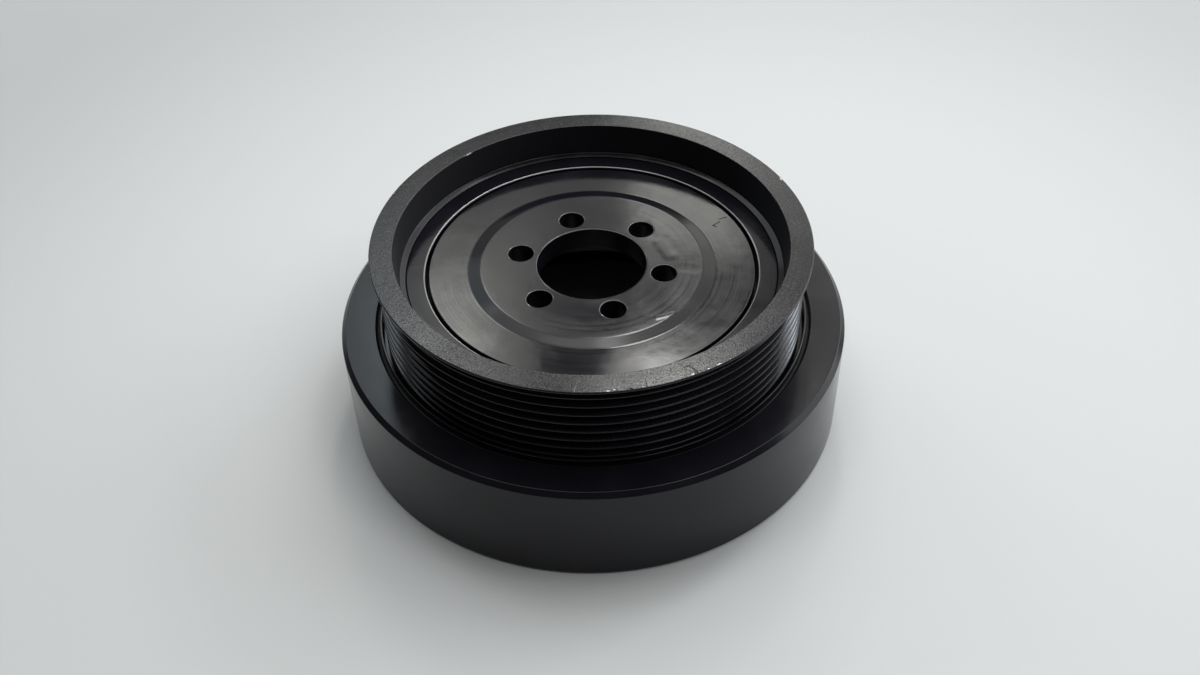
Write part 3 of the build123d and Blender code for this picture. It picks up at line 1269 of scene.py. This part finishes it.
def floor_paper():
    """Pale matt paper, with painted shade: its colour darkens away from the object, where the light falls
    off.
    """
    material, tree, where = new_material("floor_paper")
    base = sizes("stage").floor
    away = tree.vector("DISTANCE", where, FLOOR_MIDDLE, output="Value")
    share = between(tree, away, FLOOR_NEAR, FLOOR_FAR)
    share = tree.maths("MULTIPLY_ADD", noise(tree, where, *FLOOR_CLOUDS), 0.04, share)
    # Painted shade: the paper's colour darkens away from the object, standing in for the light's falloff.
    tone = mixed(tree, share, base, lighter(base, FLOOR_PAINTED_FALLOFF))
    return finish_material(tree, material, tone, 0.0, 0.75, noise(tree, where, *FLOOR_GRAIN), FLOOR_RISE)


def build_floor():
    """The pale floor."""
    signs = [(-1, -1), (1, -1), (1, 1), (-1, 1)]
    mesh = bpy.data.meshes.new("floor")
    mesh.from_pydata([(x * FLOOR_HALF, y * FLOOR_HALF, 0) for x, y in signs], [], [(0, 1, 2, 3)])
    mesh.materials.append(floor_paper())
    floor = bpy.data.objects.new("floor", mesh)
    bpy.context.scene.collection.objects.link(floor)


def build_camera():
    """The camera, above and in front of the object, looking down at it."""
    flat = cos(CAMERA_PITCH)
    ahead = Vector((sin(CAMERA_YAW) * flat, cos(CAMERA_YAW) * flat, -sin(CAMERA_PITCH)))
    right = Vector((cos(CAMERA_YAW), -sin(CAMERA_YAW), 0))
    down = ahead.cross(right)
    side = cos(CAMERA_ROLL) * right + sin(CAMERA_ROLL) * down
    below = -sin(CAMERA_ROLL) * right + cos(CAMERA_ROLL) * down
    data = bpy.data.cameras.new("camera")
    data.sensor_width = 36
    data.lens = sizes("stage").lens / MM
    data.clip_start = 0.01
    holder = bpy.data.objects.new("camera", data)
    bpy.context.scene.collection.objects.link(holder)
    turn = Matrix((side, -below, -ahead)).transposed().to_4x4()
    holder.matrix_world = Matrix.Translation(CAMERA_PLACE) @ turn
    bpy.context.scene.camera = holder


def build_world():
    """Even pale light from all round."""
    world = bpy.data.worlds.new("room")
    world.use_nodes = True
    world.node_tree.nodes.clear()
    tree = Tree(world.node_tree)
    inputs = {"Color": (*PALE_SKY, 1.0), "Strength": sizes("stage").world}
    light = tree.add("ShaderNodeBackground", inputs)
    tree.add("ShaderNodeOutputWorld", {"Surface": light.outputs[0]})
    bpy.context.scene.world = world


def build_stage():
    """Floor, world, lamps and camera."""
    build_floor()
    build_world()
    for panel in PANELS:
        soft_panel(*panel)
    build_camera()
    bpy.context.scene.view_settings.view_transform = "Standard"


# ---- operators and panel


class BALANCER_OT_pulley(bpy.types.Operator):
    """Build the belt pulley"""

    bl_idname = "balancer.pulley"
    bl_label = "Belt Pulley"

    def execute(self, context):
        build_pulley()
        return {"FINISHED"}


class BALANCER_OT_channel(bpy.types.Operator):
    """Build the pressed channel ring"""

    bl_idname = "balancer.channel"
    bl_label = "Channel Ring"

    def execute(self, context):
        build_channel()
        return {"FINISHED"}


class BALANCER_OT_hub(bpy.types.Operator):
    """Build the hub with its bore and bolt holes"""

    bl_idname = "balancer.hub"
    bl_label = "Hub"

    def execute(self, context):
        build_hub()
        return {"FINISHED"}


class BALANCER_OT_ring(bpy.types.Operator):
    """Build the heavy ring"""

    bl_idname = "balancer.ring"
    bl_label = "Heavy Ring"

    def execute(self, context):
        build_ring()
        return {"FINISHED"}


class BALANCER_OT_rubber(bpy.types.Operator):
    """Build the two rubber rings"""

    bl_idname = "balancer.rubber"
    bl_label = "Rubber Rings"

    def execute(self, context):
        build_rubber()
        return {"FINISHED"}


class BALANCER_OT_bearings(bpy.types.Operator):
    """Build the plain bush and the thrust washer"""

    bl_idname = "balancer.bearings"
    bl_label = "Bearings"

    def execute(self, context):
        build_bearings()
        return {"FINISHED"}


class BALANCER_OT_stage(bpy.types.Operator):
    """Set up the floor, the lamps and the camera"""

    bl_idname = "balancer.stage"
    bl_label = "Stage"

    def execute(self, context):
        build_stage()
        return {"FINISHED"}


OPERATORS = [
    BALANCER_OT_pulley,
    BALANCER_OT_channel,
    BALANCER_OT_hub,
    BALANCER_OT_ring,
    BALANCER_OT_rubber,
    BALANCER_OT_bearings,
    BALANCER_OT_stage,
]


class BALANCER_PT_parts(bpy.types.Panel):
    """The balancer's pieces and their sizes"""

    bl_idname = "BALANCER_PT_parts"
    bl_label = "Harmonic Balancer"
    bl_space_type = "VIEW_3D"
    bl_region_type = "UI"
    bl_category = "Balancer"

    def draw(self, context):
        for operator in OPERATORS:
            self.layout.operator(operator.bl_idname)
        for group, kind in GROUPS.items():
            box = self.layout.box()
            box.label(text=kind.__doc__)
            for name in kind.__annotations__:
                box.prop(getattr(context.scene, "balancer_" + group), name)


def register():
    """Registers the classes and hangs the property groups on the scene."""
    for kind in (*GROUPS.values(), *OPERATORS, BALANCER_PT_parts):
        bpy.utils.register_class(kind)
    for group, kind in GROUPS.items():
        setattr(bpy.types.Scene, "balancer_" + group, PointerProperty(type=kind))


def unregister():
    """Undoes register."""
    for group in GROUPS:
        delattr(bpy.types.Scene, "balancer_" + group)
    for kind in (BALANCER_PT_parts, *reversed(OPERATORS), *reversed(GROUPS.values())):
        bpy.utils.unregister_class(kind)


def main():
    """Registers the sizes, and builds every piece and the stage."""
    register()
    for operator in OPERATORS:
        group, action = operator.bl_idname.split(".")
        getattr(getattr(bpy.ops, group), action)()


if __name__ == "__main__":
    main()
